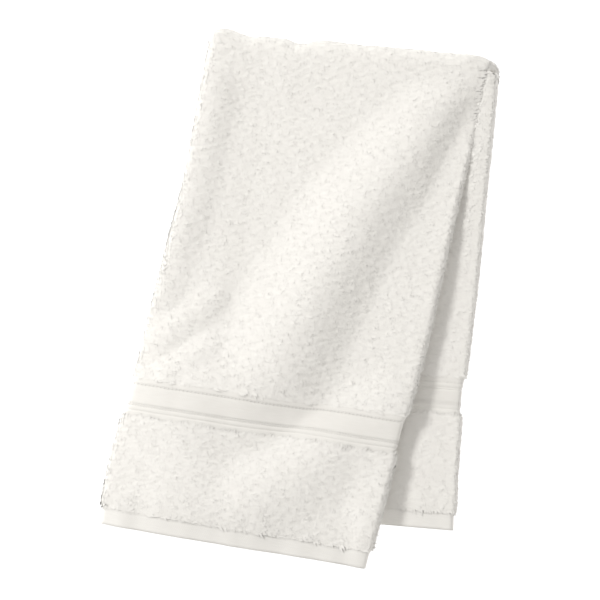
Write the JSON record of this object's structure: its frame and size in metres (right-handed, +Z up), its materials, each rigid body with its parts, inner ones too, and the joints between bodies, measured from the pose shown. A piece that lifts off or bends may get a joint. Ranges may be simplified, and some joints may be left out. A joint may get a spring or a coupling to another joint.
{
  "type": "hand towel",
  "caption": "Cotton terry hand towel with flat woven borders and plain hems, its sides turned in and folded over across, lying flat with the top leg skewed over the bottom one.",
  "frame": {"origin": "centre of the folded towel's footprint, on the surface it lies on", "axes": "+Z up out of the surface, +Y from the hems towards the fold across the towel, between the directions of its two legs, +X to the right seen from above"},
  "size_m": [0.263, 0.3956, 0.0325],
  "materials": {
    "terry": "matte looped cotton pile, with smooth flat weave in the borders and hems"
  },
  "bodies": {
    "root": {"towel": "terry"}
  },
  "joints": []
}
